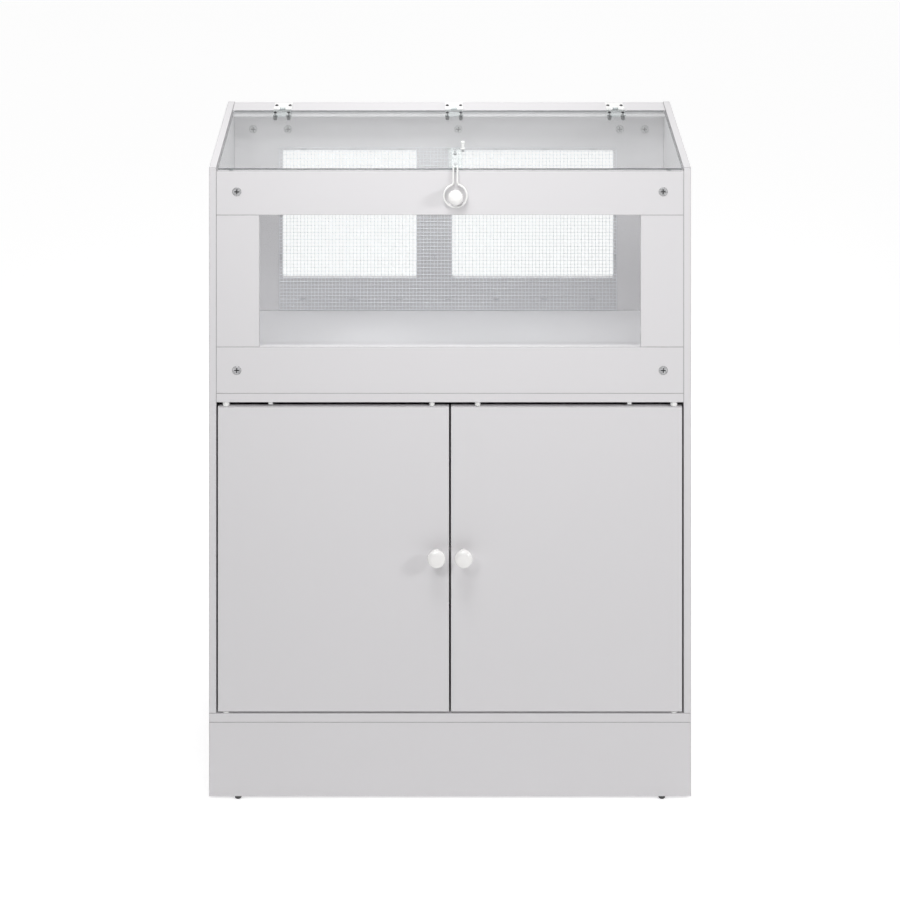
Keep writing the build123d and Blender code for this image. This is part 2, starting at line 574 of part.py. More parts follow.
def make_door(name, side):
    x = mirrored_x(side, DOOR_MIDDLE_GAP / 2, DOOR_OUTER)
    door = board(x, (FRONT, FRONT_INNER), (DOOR_BOTTOM, DOOR_TOP))
    pivot_x = side * PIVOT_X
    pin_in_door = 22.0
    for z, up in ((DOOR_TOP, 1), (DOOR_BOTTOM, -1)):
        mouth = (pivot_x, FRONT_MID, z)
        door -= rod(PIVOT_RADIUS + 0.05, mouth, (0, 0, -up), pin_in_door)
        gap = DOOR_TOP_GAP if up > 0 else DOOR_BOTTOM_GAP
        start = step(mouth, (0, 0, -up), pin_in_door - 0.5)
        pin = rod(PIVOT_RADIUS, start, (0, 0, up), pin_in_door - 0.5 + gap + 7)
        add_hardware(name + "_door_pivot_pins", chamfer(pin.edges(), 0.4))
    knob_x = side * KNOB_X
    door -= rod(2.25, (knob_x, FRONT_INNER, KNOB_Z), (0, -1, 0), BOARD)
    parts[name + "_door"] = door
    face = (knob_x, FRONT, KNOB_Z)
    outline = make_face(knob_profile() + Line((0, 28), (0, 0)))
    knob = Plane(origin=face, z_dir=(0, -1, 0)) * revolve(Plane.XZ * outline, Axis.Z)
    parts[name + "_door_knob"] = knob - rod(2.0, face, (0, -1, 0), 16)
    mouth = (knob_x, FRONT_INNER, KNOB_Z)
    parts[name + "_knob_screw"] = wood_screw(mouth, (0, 1, 0), 1.95, 3.8, BOARD + 14)
    make_strike(name, side)


def make_strike(name, side):
    """The steel disc, let into the top edge of the door, that the magnet holds."""
    mouth = (CATCH_X[name], FRONT_MID, DOOR_TOP)
    down = (0, 0, -1)
    add_bore(name + "_door", rod(4.1, mouth, down, 1.2))
    add_bore(name + "_door", rod(1.45, mouth, down, 11))
    disc = rod(4, step(mouth, down, 1.1), (0, 0, 1), 1)
    parts[name + "_strike_plate"] = disc - rod(1.5, mouth, down, 3)
    screw = rod(1.4, step(mouth, down, 10.5), (0, 0, 1), 10.2)
    parts[name + "_strike_screw"] = screw - block(
        (CATCH_X[name] - 1, CATCH_X[name] + 1), (FRONT_MID - 0.2, FRONT_MID + 0.2), (DOOR_TOP - 0.8, DOOR_TOP)
    )


def make_door_fittings():
    """Pivot bushes, round magnetic catches and stops, in the gaps above and below the doors."""
    for name, side in SIDES.items():
        for wall, face_z, up, flange in (
            ("cage_floor", FLOOR_BOTTOM, 1, DOOR_TOP_GAP - DOOR_RUNNING_GAP),
            ("base_board", BASE_TOP, -1, DOOR_BOTTOM_GAP - DOOR_RUNNING_GAP),
        ):
            mouth = (side * PIVOT_X, FRONT_MID, face_z)
            bush = barrel_under(mouth, up, 5.8, flange)
            below = (side * PIVOT_X, FRONT_MID, face_z - 10)
            add_hardware("door_pivot_bushes", bush - rod(PIVOT_RADIUS + RUNNING_CLEARANCE, below, (0, 0, 1), 20))
            add_bore(wall, rod(4.05, mouth, (0, 0, up), 8.5))
        mouth = (CATCH_X[name], FRONT_MID, FLOOR_BOTTOM)
        catch_height = DOOR_TOP_GAP - DOOR_RUNNING_GAP
        catch = barrel_under(mouth, 1, 4.6, catch_height)
        catch_end = (CATCH_X[name], FRONT_MID, FLOOR_BOTTOM - catch_height)
        add_bore("cage_floor", rod(4.05, mouth, (0, 0, 1), 8.5))
        add_hardware("magnetic_catches", catch - rod(3.1, catch_end, (0, 0, 1), 5))
        magnet_start = step(catch_end, (0, 0, 1), 0.2)
        add_hardware("catch_magnets", rod(3, magnet_start, (0, 0, 1), 4.6))
        add_hardware("door_stops", door_stop(side * STOP_X))


def barrel_under(mouth, up, flange_radius, flange_height):
    """A moulded barrel pushed into a board, with a flange that stands out of it."""
    flange = rod(flange_radius, mouth, (0, 0, -up), flange_height)
    outer = Axis.Z if up < 0 else -Axis.Z
    flange = chamfer(flange.edges().group_by(outer)[-1], 0.5)
    return flange + rod(4, mouth, (0, 0, up), 8)


def door_stop(x):
    """An angle under the cage floor whose lip the back of the door closes against."""
    half = 3.5
    foot = block((x - half, x + half), (FRONT + 2, FRONT_INNER + 10), (FLOOR_BOTTOM - 4, FLOOR_BOTTOM))
    lip = block((x - half, x + half), (FRONT_INNER + 0.3, FRONT_INNER + 3.3), (DOOR_TOP - 9, FLOOR_BOTTOM))
    return chamfer((foot + lip).edges().filter_by(Axis.Z), 0.6)


# ---------------------------------------------------------------- assembly

make_plinth()
make_glides()
make_carcass()
make_shelf()
make_front_frame()
make_pane()
make_rear_wall()
make_mesh()
make_lid()
make_lift_peg()
make_bumpers()
make_hinges()
make_hasp()
make_lid_knob()
for door_name, door_side in SIDES.items():
    make_door(door_name, door_side)
make_door_fittings()
join_plinth()
join_cabinet()
join_cage()

for board_name, holes in bores.items():
    for hole in holes:
        parts[board_name] -= hole
for node, solids in hardware.items():
    parts[node] = Compound(children=solids) if len(solids) > 1 else solids[0]

os.makedirs("parts", exist_ok=True)
for node, shape in parts.items():
    export_step(shape, f"parts/{node}.step")
print(len(parts), "nodes written")
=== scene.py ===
import json
import math

import bmesh
import bpy
from mathutils import Matrix, Vector


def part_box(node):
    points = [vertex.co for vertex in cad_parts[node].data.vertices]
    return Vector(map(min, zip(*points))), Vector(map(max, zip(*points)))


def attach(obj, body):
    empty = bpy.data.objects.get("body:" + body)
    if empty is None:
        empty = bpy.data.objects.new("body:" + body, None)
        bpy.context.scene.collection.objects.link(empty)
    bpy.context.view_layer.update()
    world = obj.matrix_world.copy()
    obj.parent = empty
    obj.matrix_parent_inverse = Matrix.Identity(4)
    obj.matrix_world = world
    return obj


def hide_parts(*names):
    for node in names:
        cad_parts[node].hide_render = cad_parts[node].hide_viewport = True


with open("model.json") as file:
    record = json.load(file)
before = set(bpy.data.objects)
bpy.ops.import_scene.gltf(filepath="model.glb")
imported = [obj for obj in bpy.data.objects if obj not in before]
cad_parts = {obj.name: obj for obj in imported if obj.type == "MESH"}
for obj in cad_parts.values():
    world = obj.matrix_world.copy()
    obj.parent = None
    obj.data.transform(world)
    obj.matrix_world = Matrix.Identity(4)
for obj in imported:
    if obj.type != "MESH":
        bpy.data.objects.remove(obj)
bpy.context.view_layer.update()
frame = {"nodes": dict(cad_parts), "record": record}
MM = 0.001


# ---------------------------------------------------------------- node helpers

class Field:
    """A number that varies over a surface or a shape. Arithmetic on it adds Math nodes."""

    def __init__(self, nodes, socket):
        self.nodes = nodes
        self.socket = socket

    def math(self, operation, *values):
        node = self.nodes.add(self.nodes.MATH, {"operation": operation}, dict(enumerate(values)))
        return Field(self.nodes, node.outputs[0])

    def __add__(self, other):
        return self.math("ADD", self, other)

    __radd__ = __add__

    def __sub__(self, other):
        return self.math("SUBTRACT", self, other)

    def __rsub__(self, other):
        return self.math("SUBTRACT", other, self)

    def __mul__(self, other):
        return self.math("MULTIPLY", self, other)

    __rmul__ = __mul__

    def __pow__(self, other):
        return self.math("POWER", self, other)

    def __abs__(self):
        return self.math("ABSOLUTE", self)

    def smaller(self, other):
        return self.math("MINIMUM", self, other)

    def larger(self, other):
        return self.math("MAXIMUM", self, other)

    def rise(self, low, high):
        """0 below low, 1 above high, smooth between. low may be the larger, for a fall."""
        if low > high:
            return 1 - self.rise(high, low)
        settings = {"interpolation_type": "SMOOTHSTEP"}
        inputs = {"Value": self, "From Min": low, "From Max": high}
        return Field(self.nodes, self.nodes.add("ShaderNodeMapRange", settings, inputs).outputs[0])

    def span(self, low, high):
        """A field of 0 to 1 laid out from low to high."""
        return self * (high - low) + low


class Nodes:
    """A node tree under construction: one method adds any node."""

    MATH = "ShaderNodeMath"

    def __init__(self, tree):
        self.tree = tree

    def add(self, kind, settings=None, inputs=None):
        node = self.tree.nodes.new(kind)
        for name, value in (settings or {}).items():
            setattr(node, name, value)
        for name, value in (inputs or {}).items():
            self.feed(node.inputs[name], value)
        return node

    def feed(self, socket, value):
        if isinstance(value, Field):
            value = value.socket
        if isinstance(value, bpy.types.NodeSocket):
            self.tree.links.new(value, socket)
        elif value is not None:
            socket.default_value = value


class Finish(Nodes):
    """One material, drawn on object coordinates in metres."""

    def __init__(self, name):
        self.material = bpy.data.materials.new(name)
        self.material.use_nodes = True
        super().__init__(self.material.node_tree)
        self.tree.nodes.clear()
        self.output = self.add("ShaderNodeOutputMaterial")
        self.coordinates = self.add("ShaderNodeTexCoord")
        self.place = self.coordinates.outputs["Object"]

    def axes(self):
        node = self.add("ShaderNodeSeparateXYZ", None, {0: self.place})
        return [Field(self, output) for output in node.outputs]

    def stretched(self, scale=(1, 1, 1), offset=(0, 0, 0)):
        """Object coordinates, scaled along each axis and moved."""
        inputs = {"Vector": self.place, "Scale": scale, "Location": offset}
        return self.add("ShaderNodeMapping", None, inputs).outputs[0]

    def noise(self, scale, detail=3.0, roughness=0.5, where=None, distortion=0.0):
        inputs = {
            "Vector": where or self.place, "Scale": scale, "Detail": detail,
            "Roughness": roughness, "Distortion": distortion,
        }
        return Field(self, self.add("ShaderNodeTexNoise", None, inputs).outputs[0])

    def cells(self, scale, where=None):
        inputs = {"Vector": where or self.place, "Scale": scale}
        return Field(self, self.add("ShaderNodeTexVoronoi", None, inputs).outputs[0])

    def blend(self, share, low, high):
        """Two colours mixed by a share."""
        settings = {"data_type": "RGBA"}
        inputs = {0: share, 6: low, 7: high}
        for key in (6, 7):
            if isinstance(inputs[key], tuple):
                inputs[key] = (*inputs[key], 1)
        return self.add("ShaderNodeMix", settings, inputs).outputs[2]

    def glancing(self, facing, edge_on):
        """How much a clear sheet reflects, the same from either side: facing, and seen edge-on."""
        layer = self.add("ShaderNodeLayerWeight", None, {"Blend": 0.5})
        return (Field(self, layer.outputs["Facing"]) ** 5) * edge_on + facing

    def bump(self, height, distance, strength=1.0):
        inputs = {"Height": height, "Distance": distance, "Strength": strength}
        return self.add("ShaderNodeBump", None, inputs).outputs[0]

    def surface(self, **sockets):
        """The Principled shader, with sockets named by words joined with an underscore."""
        inputs = {name.replace("_", " "): value for name, value in sockets.items()}
        for name, value in inputs.items():
            if name == "Base Color" and isinstance(value, tuple):
                inputs[name] = (*value, 1)
        return self.add("ShaderNodeBsdfPrincipled", None, inputs).outputs[0]

    def done(self, shader):
        self.feed(self.output.inputs["Surface"], shader)
        return self.material


class Growth(Nodes):
    """A geometry node tree with named inputs, grown into a plain mesh."""

    def __init__(self, name, sizes, material):
        super().__init__(bpy.data.node_groups.new(name, "GeometryNodeTree"))
        self.name = name
        self.material = material
        self.sizes = sizes
        self.identifiers = {}
        for size_name, value in sizes.items():
            kind = "NodeSocketInt" if isinstance(value, int) else "NodeSocketFloat"
            socket = self.tree.interface.new_socket(size_name, in_out="INPUT", socket_type=kind)
            self.identifiers[size_name] = socket.identifier
        self.tree.interface.new_socket("Shape", in_out="OUTPUT", socket_type="NodeSocketGeometry")
        self.group_input = self.add("NodeGroupInput")
        self.group_output = self.add("NodeGroupOutput")

    def size(self, name):
        return Field(self, self.group_input.outputs[name])

    def vector(self, x=0.0, y=0.0, z=0.0):
        return self.add("ShaderNodeCombineXYZ", None, {0: x, 1: y, 2: z}).outputs[0]

    def join(self, *shapes):
        node = self.add("GeometryNodeJoinGeometry")
        for shape in reversed(shapes):
            self.tree.links.new(shape, node.inputs[0])
        return node.outputs[0]

    def grow(self, shape):
        realized = self.add("GeometryNodeRealizeInstances", None, {0: shape}).outputs[0]
        inputs = {"Geometry": realized, "Material": self.material}
        finished = self.add("GeometryNodeSetMaterial", None, inputs).outputs[0]
        self.feed(self.group_output.inputs[0], finished)
        seed = bpy.data.objects.new(self.name + "_seed", bpy.data.meshes.new(self.name + "_seed"))
        bpy.context.scene.collection.objects.link(seed)
        modifier = seed.modifiers.new("grow", "NODES")
        modifier.node_group = self.tree
        for size_name, value in self.sizes.items():
            modifier[self.identifiers[size_name]] = value
        graph = bpy.context.evaluated_depsgraph_get()
        mesh = bpy.data.meshes.new_from_object(seed.evaluated_get(graph))
        seed.modifiers.remove(modifier)
        bpy.data.objects.remove(seed)
        return mesh


# ---------------------------------------------------------------- piece helpers

def place(mesh, name, body, material, slot, *stands_for):
    """Puts a finished mesh in the scene, riding on a body and standing for CAD nodes."""
    piece = bpy.data.objects.new(name, mesh)
    mesh.name = name
    mesh.materials.clear()
    mesh.materials.append(material)
    bpy.context.scene.collection.objects.link(piece)
    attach(piece, body)
    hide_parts(*stands_for)
    return piece


def lathe(profile, base, direction, steps=64):
    """A turned mesh: (radius, height) points spun about the line from base along direction."""
    form = bmesh.new()
    rings = []
    for radius, height in profile:
        if radius == 0:
            rings.append([form.verts.new((0, 0, height))])
            continue
        turns = [math.tau * k / steps for k in range(steps)]
        rings.append([form.verts.new((radius * math.cos(t), radius * math.sin(t), height)) for t in turns])
    for lower, upper in zip(rings, rings[1:]):
        for k in range(steps):
            corners = [
                lower[k % len(lower)], lower[(k + 1) % len(lower)],
                upper[(k + 1) % len(upper)], upper[k % len(upper)],
            ]
            unique = list(dict.fromkeys(corners))
            if len(unique) > 2:
                form.faces.new(unique)
    turn = Vector((0, 0, 1)).rotation_difference(Vector(direction)).to_matrix().to_4x4()
    bmesh.ops.transform(form, matrix=Matrix.Translation(base) @ turn, verts=form.verts)
    bmesh.ops.recalc_face_normals(form, faces=form.faces)
    return to_mesh(form)


def to_mesh(form, smooth=True):
    mesh = bpy.data.meshes.new("form")
    form.to_mesh(mesh)
    form.free()
    for face in mesh.polygons:
        face.use_smooth = smooth
    return mesh


def arc(centre, radius, start, end, count):
    """Points on a circle from one angle to another, in degrees."""
    angles = [math.radians(start + (end - start) * k / count) for k in range(count + 1)]
    return [(centre[0] + radius * math.cos(a), centre[1] + radius * math.sin(a)) for a in angles]


def middle(node):
    low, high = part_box(node)
    return (low + high) / 2


def half_size(node):
    low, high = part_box(node)
    return (high - low) / 2


# ---------------------------------------------------------------- finishes

BOARD_WHITE = (0.68, 0.668, 0.682)
CHIP_BROWN = (0.42, 0.30, 0.19)


def foil_board(node, grain, thickness, core=True):
    """White foil on particle board: faint pressed grain, pearl texture, edge bands with a glue line, and
    painted shade along every edge.
    """
    finish = Finish("foil_" + node)
    centre, half = middle(node), half_size(node)
    seed = sum(map(ord, node)) % 97
    shares = [abs(axis - centre[k]) for k, axis in enumerate(finish.axes())]
    depths = [half[k] - share for k, share in enumerate(shares)]
    to_corner = (
        depths[0].larger(depths[1]).smaller(depths[1].larger(depths[2])).smaller(depths[0].larger(depths[2]))
    )
    on_band = depths[thickness].rise(0.5 * MM, 0.9 * MM)

    along = [1.0, 1.0, 1.0]
    along[grain] = 0.045
    streaks = finish.noise(190, 5, 0.62, finish.stretched(along, (seed, seed * 0.7, seed * 1.3)), 0.35)
    along[grain] = 0.02
    pores = finish.noise(1500, 2, 0.5, finish.stretched(along, (seed, 0, 0)))
    clouds = finish.noise(3.1, 3, 0.55, finish.stretched((1, 1, 1), (seed, 0, seed)))
    pearl = finish.noise(2600, 2, 0.5)
    smudges = finish.noise(11, 4, 0.6, finish.stretched((1, 1, 1), (0, seed, 0)))
    specks = finish.cells(620).rise(0.12, 0.05) * finish.noise(45, 2).rise(0.63, 0.70)

    tone = clouds.span(-0.022, 0.022) + streaks.span(-0.018, 0.018) + on_band * 0.012
    light = tuple(min(1.0, c * 1.05) for c in BOARD_WHITE)
    dark = tuple(c * 0.93 for c in BOARD_WHITE)
    colour = finish.blend((tone + 0.5).rise(0.0, 1.0), dark, light)

    glue_line = to_corner.rise(0.35 * MM, 0.6 * MM) * to_corner.rise(1.1 * MM, 0.7 * MM) * (1 - on_band)
    broken = finish.noise(130, 3).rise(0.35, 0.7)
    colour = finish.blend(glue_line * broken * 0.30, colour, (0.50, 0.47, 0.44))
    rub = to_corner.rise(2.6 * MM, 0.2 * MM) * finish.noise(70, 4, 0.7).rise(0.52, 0.72)
    colour = finish.blend(rub * 0.22, colour, (0.56, 0.54, 0.52))
    colour = finish.blend(specks * 0.35, colour, (0.50, 0.48, 0.47))
    # Painted shade: everything within 0.75 mm of a corner is darkened towards dark grey, standing in for the
    # shade in the seams between boards and along their edges.
    colour = finish.blend(to_corner.rise(0.75 * MM, 0.25 * MM) * 0.75, colour, (0.20, 0.20, 0.21))

    height = streaks * 0.5 + pores * 0.35 + pearl * 0.3
    roughness = smudges.span(0.36, 0.50) + rub * 0.12 + on_band * 0.04
    if core:
        inside = depths[0].smaller(depths[1]).smaller(depths[2]).rise(0.8 * MM, 1.2 * MM)
        chips = finish.cells(900)
        wood = finish.blend(chips.rise(0.1, 0.7), tuple(c * 0.6 for c in CHIP_BROWN), CHIP_BROWN)
        colour = finish.blend(inside, colour, wood)
        roughness = roughness + inside * 0.4
        height = height + inside * chips * 3.0
    normal = finish.bump(height, 0.05 * MM, 0.55)
    return finish.done(finish.surface(
        Base_Color=colour, Roughness=roughness, Normal=normal, Specular_IOR_Level=0.45,
    ))


def clear_sheet(name, node):
    """Cast acrylic: see-through faces with faint wiping marks, and grey sawn edges."""
    finish = Finish(name)
    centre, half = middle(node), half_size(node)
    shares = [abs(axis - centre[k]) for k, axis in enumerate(finish.axes())]
    thin = min(range(3), key=lambda k: half[k])
    flat = [k for k in range(3) if k != thin]
    to_edge = [half[k] - shares[k] for k in flat]
    edge = to_edge[0].smaller(to_edge[1]).rise(0.5 * MM, 0.15 * MM)
    wipes = finish.noise(6, 5, 0.65, finish.stretched((1, 2.5, 1)), 1.2)
    hairlines = finish.noise(420, 2, 0.5, finish.stretched((0.03, 1, 0.2))).rise(0.68, 0.76)
    dust = finish.cells(800).rise(0.10, 0.03) * finish.noise(60, 2).rise(0.55, 0.65)
    saw = finish.noise(900, 2, 0.5, finish.stretched((1, 1, 0.05)))
    gloss = finish.surface(
        Base_Color=(0.97, 0.98, 0.98), Metallic=1.0, Roughness=wipes.span(0.02, 0.07),
        Normal=finish.bump(wipes, 0.02 * MM, 0.2),
    )
    bloom = finish.surface(
        Base_Color=finish.blend(edge, (0.84, 0.85, 0.85), (0.10, 0.11, 0.115)),
        Roughness=wipes.span(0.30, 0.42),
        Normal=finish.bump(saw * edge, 0.03 * MM, 0.4),
    )
    through = finish.add("ShaderNodeBsdfTransparent", None, {"Color": (0.985, 0.99, 0.99, 1)}).outputs[0]
    clear = finish.add("ShaderNodeMixShader", None, {0: finish.glancing(0.03, 0.62), 1: through, 2: gloss})
    haze = (wipes.rise(0.5, 0.8) * 0.006 + hairlines * 0.012 + dust * 0.12 + 0.003 + edge * 0.75).smaller(1.0)
    mixed = finish.add("ShaderNodeMixShader", None, {0: haze, 1: clear.outputs[0], 2: bloom})
    return finish.done(mixed.outputs[0])


def milky_plastic(name="clear_soft_plastic"):
    """Flexible clear plastic, slightly milky, with flow marks."""
    finish = Finish(name)
    flow = finish.noise(120, 4, 0.6, finish.stretched((1, 0.3, 1)), 0.8)
    grain = finish.noise(2200, 2)
    skin = finish.surface(
        Base_Color=finish.blend(flow, (0.80, 0.82, 0.82), (0.90, 0.91, 0.91)),
        Roughness=flow.span(0.14, 0.26), Normal=finish.bump(flow + grain * 0.3, 0.06 * MM, 0.5),
    )
    through = finish.add("ShaderNodeBsdfTransparent", None, {"Color": (0.95, 0.97, 0.97, 1)}).outputs[0]
    share = flow.span(0.05, 0.12) + finish.glancing(0.04, 0.6)
    return finish.done(finish.add("ShaderNodeMixShader", None, {0: share, 1: through, 2: skin}).outputs[0])


def moulded_plastic(name, colour, roughness=(0.26, 0.38)):
    """Moulded plastic: fine spark-eroded texture and slight sink and flow marks."""
    finish = Finish(name)
    flow = finish.noise(60, 4, 0.6, None, 0.6)
    spark = finish.noise(3200, 3, 0.6)
    dirt = finish.noise(240, 4, 0.65).rise(0.58, 0.75)
    shade = finish.blend(flow, tuple(c * 0.95 for c in colour), tuple(min(1, c * 1.03) for c in colour))
    shade = finish.blend(dirt * 0.10, shade, tuple(c * 0.6 for c in colour))
    normal = finish.bump(spark * 0.6 + flow, 0.05 * MM, 0.5)
    return finish.done(finish.surface(
        Base_Color=shade, Roughness=flow.span(*roughness) + dirt * 0.1, Normal=normal,
    ))


def gloss_lacquer(name="white_gloss_lacquer"):
    """Thick white lacquer on a turned wooden knob, with the wood's growth lines just showing."""
    finish = Finish(name)
    white = (0.86, 0.85, 0.84)
    ripple = finish.noise(70, 3, 0.5, finish.stretched((1, 1, 0.4)))
    growth = finish.noise(260, 3, 0.5, finish.stretched((1, 0.12, 1)))
    touched = finish.noise(110, 4, 0.7).rise(0.55, 0.75)
    colour = finish.blend(growth, tuple(c * 0.975 for c in white), white)
    colour = finish.blend(touched * 0.10, colour, (0.72, 0.69, 0.65))
    normal = finish.bump(ripple + growth * 0.25, 0.12 * MM, 0.35)
    return finish.done(finish.surface(
        Base_Color=colour, Roughness=touched.span(0.16, 0.28), Normal=normal,
        Coat_Weight=0.5, Coat_Roughness=0.08,
    ))


def cast_zinc(name="die_cast_zinc", face_y=None):
    """Dull die-cast zinc: grainy, with bright rubbed patches, and painted shade in the slots behind face_y.
    """
    finish = Finish(name)
    grain = finish.noise(1700, 4, 0.65)
    patch = finish.noise(330, 3, 0.6)
    pits = finish.cells(1300).rise(0.25, 0.08)
    colour = finish.blend(patch.rise(0.3, 0.7), (0.33, 0.33, 0.34), (0.66, 0.66, 0.67))
    colour = finish.blend(pits * 0.5, colour, (0.14, 0.14, 0.14))
    if face_y is not None:
        # Painted shade: the recess behind face_y is darkened almost to black, standing in for the shade
        # inside the cross slots.
        behind = finish.axes()[1] - face_y
        colour = finish.blend(behind.rise(0.15 * MM, 0.7 * MM) * 0.92, colour, (0.03, 0.03, 0.03))
    normal = finish.bump(grain - pits, 0.06 * MM, 0.7)
    return finish.done(finish.surface(
        Base_Color=colour, Metallic=patch.span(0.82, 0.98), Roughness=patch.span(0.46, 0.28) + pits * 0.2,
        Normal=normal,
    ))


def turned_steel(name, light, dark, roughness=(0.22, 0.38)):
    """Plated or blackened steel: fine drawing lines, a mottled skin and worn high spots."""
    finish = Finish(name)
    lines = finish.noise(2400, 3, 0.55, finish.stretched((1, 1, 0.12)))
    skin = finish.noise(420, 4, 0.65)
    worn = finish.noise(800, 3, 0.6).rise(0.62, 0.78)
    colour = finish.blend(skin, dark, light)
    colour = finish.blend(worn * 0.35, colour, tuple(min(1, c * 1.5 + 0.08) for c in light))
    normal = finish.bump(lines + skin * 0.4, 0.03 * MM, 0.5)
    return finish.done(finish.surface(
        Base_Color=colour, Metallic=skin.span(0.88, 1.0), Roughness=skin.span(*roughness), Normal=normal,
    ))


def galvanised_wire(name="galvanised_wire"):
    """Bright zinc on thin wire, with duller runs and white bloom at the welds."""
    finish = Finish(name)
    runs = finish.noise(240, 4, 0.6)
    grain = finish.noise(3000, 2)
    bloom = finish.cells(170).rise(0.35, 0.12)
    colour = finish.blend(runs, (0.74, 0.76, 0.80), (0.92, 0.94, 0.97))
    colour = finish.blend(bloom * 0.3, colour, (0.88, 0.88, 0.87))
    return finish.done(finish.surface(
        Base_Color=colour, Metallic=0.45 - bloom * 0.2, Roughness=runs.span(0.26, 0.46),
        Normal=finish.bump(runs + grain * 0.5, 0.04 * MM, 0.6),
    ))


def beech(name="fluted_beech"):
    finish = Finish(name)
    rays = finish.noise(900, 3, 0.6, finish.stretched((0.08, 1, 1)))
    rings = finish.noise(300, 3, 0.5, finish.stretched((0.2, 1, 1)), 0.5)
    colour = finish.blend(rings, (0.62, 0.43, 0.26), (0.78, 0.60, 0.40))
    colour = finish.blend(rays.rise(0.6, 0.8) * 0.5, colour, (0.42, 0.26, 0.14))
    return finish.done(finish.surface(
        Base_Color=colour, Roughness=rings.span(0.55, 0.75), Normal=finish.bump(rays, 0.1 * MM, 0.6),
    ))


def ferrite(name="ferrite_magnet"):
    finish = Finish(name)
    grain = finish.noise(1900, 4, 0.7)
    chips = finish.cells(260).rise(0.2, 0.08)
    colour = finish.blend(grain, (0.035, 0.034, 0.034), (0.085, 0.083, 0.082))
    return finish.done(finish.surface(
        Base_Color=colour, Roughness=grain.span(0.5, 0.75), Metallic=0.2,
        Normal=finish.bump(grain - chips, 0.08 * MM, 0.8),
    ))


def lit_floor():
    """A pale sweep, lit a little from below, so that shadows on it stay faint."""
    finish = Finish("studio_floor")
    clouds = finish.noise(0.6, 2)
    colour = finish.blend(clouds, (0.70, 0.70, 0.70), (0.72, 0.72, 0.72))
    return finish.done(finish.surface(
        Base_Color=colour, Roughness=0.9, Specular_IOR_Level=0.0,
        Emission_Color=(1, 1, 1, 1), Emission_Strength=0.48,
    ))


# Which way each board's grain runs and which way it is thin: 0 is X, 1 is Y, 2 is Z.
BOARDS = {
    "plinth_front": (0, 1), "plinth_back": (0, 1), "plinth_left": (1, 0), "plinth_right": (1, 0),
    "plinth_brace": (1, 0), "base_board": (0, 2), "left_side_panel": (2, 0), "right_side_panel": (2, 0),
    "cage_floor": (0, 2), "cabinet_back": (0, 1), "storage_shelf": (0, 2), "front_bottom_rail": (0, 1),
    "front_top_rail": (0, 1), "left_stile": (2, 1), "right_stile": (2, 1), "cage_back": (0, 1),
    "rear_top_strip": (0, 2), "left_door": (2, 1), "right_door": (2, 1),
}


def dress(node, material):
    """Gives a CAD node a finish through its material slots."""
    mesh = frame["nodes"][node].data
    if not mesh.materials:
        mesh.materials.append(material)
    for slot in range(len(mesh.materials)):
        mesh.materials[slot] = material


for board_node, (grain_axis, thin_axis) in BOARDS.items():
    dress(board_node, foil_board(board_node, grain_axis, thin_axis, core=board_node != "cage_back"))

WHITE_PLASTIC = moulded_plastic("moulded_white_plastic", (0.84, 0.84, 0.83))
DARK_PLASTIC = moulded_plastic("hard_dark_plastic", (0.05, 0.05, 0.052), (0.40, 0.55))
SOFT_CLEAR = milky_plastic()
LACQUER = gloss_lacquer()
ZINC = cast_zinc()
BRIGHT_STEEL = turned_steel("zinc_plated_steel", (0.72, 0.73, 0.74), (0.50, 0.51, 0.53))
BLACK_STEEL = turned_steel("black_oxide_steel", (0.075, 0.075, 0.08), (0.03, 0.03, 0.032), (0.34, 0.50))
WIRE = galvanised_wire()
BY_SLOT = {
    "white_plastic": WHITE_PLASTIC, "grey_plastic": DARK_PLASTIC, "clear_plastic": SOFT_CLEAR,
    "white_lacquer": LACQUER, "zinc": ZINC, "steel": BRIGHT_STEEL, "dark_steel": BLACK_STEEL,
    "galvanised_wire": WIRE, "beech": beech(), "magnet": ferrite(),
}
for subpart in frame["record"]["subparts"]:
    if subpart["material_slot"] in BY_SLOT:
        dress(subpart["node"], BY_SLOT[subpart["material_slot"]])
dress("front_pane", clear_sheet("front_pane_acrylic", "front_pane"))
dress("lid_panel", clear_sheet("lid_acrylic", "lid_panel"))
for cams in ("cam_nuts_front", "cam_nuts_rear"):
    dress(cams, cast_zinc("zinc_" + cams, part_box(cams)[0].y))


# ---------------------------------------------------------------- wire mesh

WIRE_PITCH = 6.35 * MM
WIRE_RADIUS = 0.42 * MM
WIRE_SIDES = 7
POINTS_ALONG_WIRE = 26
CROSS_WIRES_FORWARD = 1.75  # in wire radii, so that they just bite into the uprights
NUGGET_SIZE = 1.35  # in wire radii


